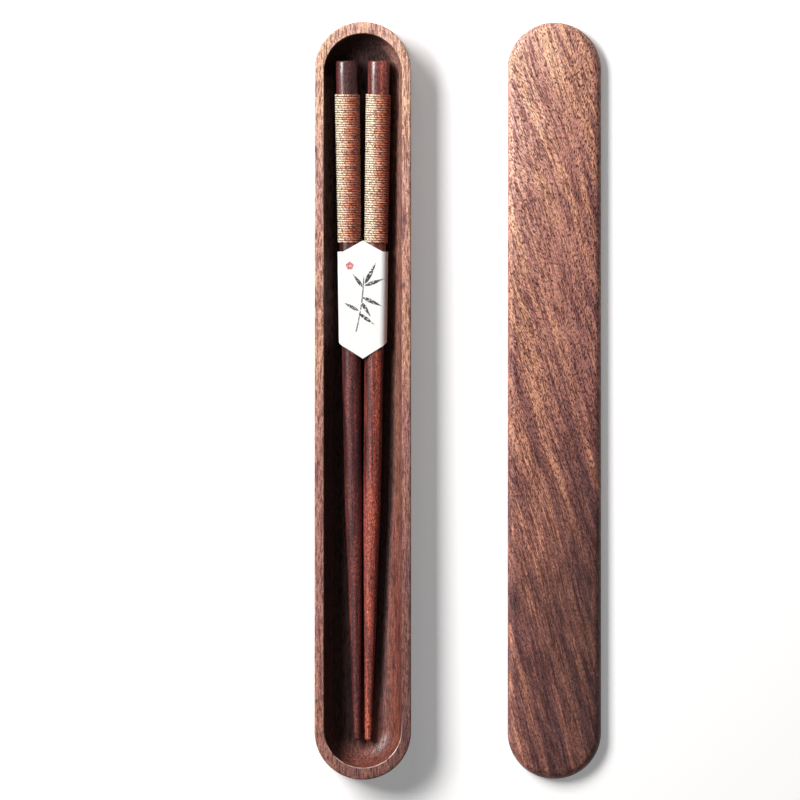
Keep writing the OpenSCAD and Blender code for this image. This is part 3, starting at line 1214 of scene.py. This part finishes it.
@dataclass
class Studio:
    """Camera straight above the case, a long window at the upper left, a weak fill and a white table."""

    lamps: tuple[Lamp, ...] = (WINDOW, FILL)
    view_x: float = 12.58 * MM
    view_y: float = 0.25 * MM
    view_height: float = 5.0
    view_end: float = 100.0
    frame_width: float = 270.3 * MM
    rim_height: float = 14.13 * MM
    sensor: float = 36.0
    ambient: float = 0.015
    gloss_grey: float = 0.22
    table_half: float = 40.0
    table_paint: Colour = (0.93, 0.93, 0.935)
    table_glow: float = 0.27
    shadow_reach: Point = (0.25, 0.6)

    def camera(self) -> None:
        """Look straight down with the chopstick heads at the top of the picture."""
        data = bpy.data.cameras.new("camera")
        data.sensor_width = self.sensor
        data.lens = self.sensor * (self.view_height - self.rim_height) / self.frame_width
        data.clip_end = self.view_end
        made = add_object("camera", data)
        made.location = (self.view_x, self.view_y, self.view_height)
        bpy.context.scene.camera = made

    def world(self) -> None:
        """Weak grey light all round, seen as white behind the case and as dim grey in its gloss."""
        made = bpy.data.worlds.new("studio")
        bpy.context.scene.world = made
        made.use_nodes = True
        graph = Graph(made.node_tree)
        path = graph.node("ShaderNodeLightPath")
        seen = path.out("Is Camera Ray").most(path.out("Is Transmission Ray"))
        level = self.ambient + seen * (1.0 - self.ambient) + path.out("Is Glossy Ray") * self.gloss_grey
        shade = graph.node("ShaderNodeBackground", sockets={"Color": (*WHITE, 1.0), "Strength": level})
        graph.node("ShaderNodeOutputWorld", sockets={"Surface": shade})

    def table(self) -> None:
        """Lay a wide white table that keeps the shadows near the case and is plain white further off."""
        mesh = bmesh.new()
        bmesh.ops.create_grid(mesh, x_segments=2, y_segments=2, size=self.table_half)
        data = bpy.data.meshes.new("table_top")
        mesh.to_mesh(data)
        mesh.free()
        made = add_object("table_top", data)
        material = bpy.data.materials.new("white_table")
        material.use_nodes = True
        data.materials.append(material)
        graph = Graph(material.node_tree)
        path = graph.node("ShaderNodeLightPath")
        seen = path.out("Is Camera Ray").most(path.out("Is Glossy Ray")).most(path.out("Is Transmission Ray"))
        away = graph.node("ShaderNodeVectorMath", {"operation": "LENGTH"}, {0: graph.object_place()}, "Value")
        glow, white = (
            graph.node("ShaderNodeEmission", sockets={"Color": (*WHITE, 1.0), "Strength": strength})
            for strength in (seen * self.table_glow, seen)
        )
        paint = graph.node("ShaderNodeBsdfDiffuse", sockets={"Color": (*self.table_paint, 1.0)})
        near = graph.node("ShaderNodeAddShader", sockets={0: paint, 1: glow})
        far = away.smooth(*self.shadow_reach)
        whole = graph.node("ShaderNodeMixShader", sockets={0: far, 1: near, 2: white})
        graph.node("ShaderNodeOutputMaterial", sockets={"Surface": whole})

    def build(self) -> None:
        """Set up everything round the case."""
        bpy.context.scene.view_settings.view_transform = "Standard"
        self.camera()
        for lamp in self.lamps:
            lamp.hang()
        self.world()
        self.table()


RIM_STOPS = (
    (0.06, (0.78, 0.49, 0.395)),
    (0.20, (0.61, 0.34, 0.275)),
    (0.35, (0.48, 0.245, 0.20)),
    (0.55, (0.35, 0.163, 0.141)),
    (0.75, (0.25, 0.114, 0.101)),
    (1.0, (0.14, 0.064, 0.060)),
)
HOLLOW_STOPS = (
    (0.06, (0.36, 0.195, 0.165)),
    (0.35, (0.26, 0.115, 0.094)),
    (0.75, (0.225, 0.074, 0.056)),
    (1.0, (0.13, 0.042, 0.034)),
)
# Painted shade across the tray: darker from left to right.
RIM_PAINTED_SHADE = (0.05, 0.1, 0.39)
TRAY_FADE = 360.0 * MM
TRAY_WOOD = Walnut("tray_walnut", RIM_STOPS, RIM_PAINTED_SHADE, TRAY_FADE)
HOLLOW_WOOD = HollowWalnut("hollow_walnut", HOLLOW_STOPS, RIM_PAINTED_SHADE, TRAY_FADE, roughness=0.36, gloss=0.45)
LID_STOPS = (
    (0.0, (0.87, 0.52, 0.42)),
    (0.14, (0.71, 0.388, 0.302)),
    (0.30, (0.625, 0.325, 0.248)),
    (0.45, (0.56, 0.274, 0.213)),
    (0.58, (0.445, 0.205, 0.163)),
    (0.70, (0.305, 0.133, 0.111)),
    (0.80, (0.215, 0.092, 0.080)),
    (0.90, (0.155, 0.067, 0.060)),
    (1.0, (0.105, 0.047, 0.044)),
)
LID_WOOD = Walnut(
    name="lid_walnut",
    stops=LID_STOPS,
    dusk=(0.70, 0.12, 0.42),
    fade_length=240.0 * MM,
    pale_y=145.0 * MM,
    middle_x=64.8 * MM,
    shift=4.0,
    lean=0.30,
    bow=0.1,
    sway=6.0 * MM,
    fan=0.28,
    figure=0.7,
    line_depth=1.0,
    pores=(2900.0, 850.0),
    pore_depth=1.0,
    pore_fade=0.3,
    pink_lines=0.8,
)
LEFT_LACQUER = Lacquer(
    name="dark_lacquer",
    tones=((0.042, 0.011, 0.012), (0.092, 0.022, 0.022), (0.17, 0.044, 0.038)),
    patch=(0.22, 0.052, 0.040),
    patch_share=0.55,
    shift=0.0,
)
RIGHT_LACQUER = Lacquer(
    name="red_lacquer",
    tones=((0.09, 0.022, 0.021), (0.22, 0.050, 0.040), (0.38, 0.090, 0.064)),
    patch=(0.48, 0.110, 0.060),
    patch_share=0.75,
    shift=3.0,
)
LEFT_SILK = SilkThread("left_silk", -4.9 * MM)
RIGHT_SILK = SilkThread("right_silk", 5.4 * MM)
SPRIG = (
    Leaf(0.6, 39.3, 8.6, 0.95, 62.0),
    Leaf(0.5, 38.8, 7.4, 0.85, 20.0),
    Leaf(0.2, 38.2, 6.2, 0.75, 128.0),
    Leaf(-0.3, 35.0, 7.8, 0.9, -24.0),
    Leaf(-0.6, 33.6, 6.6, 0.8, -58.0),
    Leaf(-1.3, 30.4, 6.0, 0.75, 152.0),
    Leaf(-1.4, 29.6, 6.8, 0.8, -36.0),
)


def clear_scene() -> None:
    """Take away what a new Blender file holds."""
    for made in list(bpy.data.objects):
        bpy.data.objects.remove(made)


def main() -> None:
    """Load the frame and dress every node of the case."""
    logging.basicConfig(level=logging.INFO, format="%(name)s %(message)s")
    clear_scene()
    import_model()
    Studio().build()
    Tray(TRAY_WOOD, HOLLOW_WOOD).build()
    Lid(LID_WOOD).build()
    looks = {Side.LEFT: (LEFT_LACQUER, LEFT_SILK), Side.RIGHT: (RIGHT_LACQUER, RIGHT_SILK)}
    pair = [Chopstick(side, *(finish.material() for finish in looks[side])) for side in Side]
    for stick in pair:
        stick.build_stick()
        stick.build_wrap()
    PaperBand(Paper("band_paper", SPRIG), pair[-1]).build()


if __name__ == "__main__":
    main()
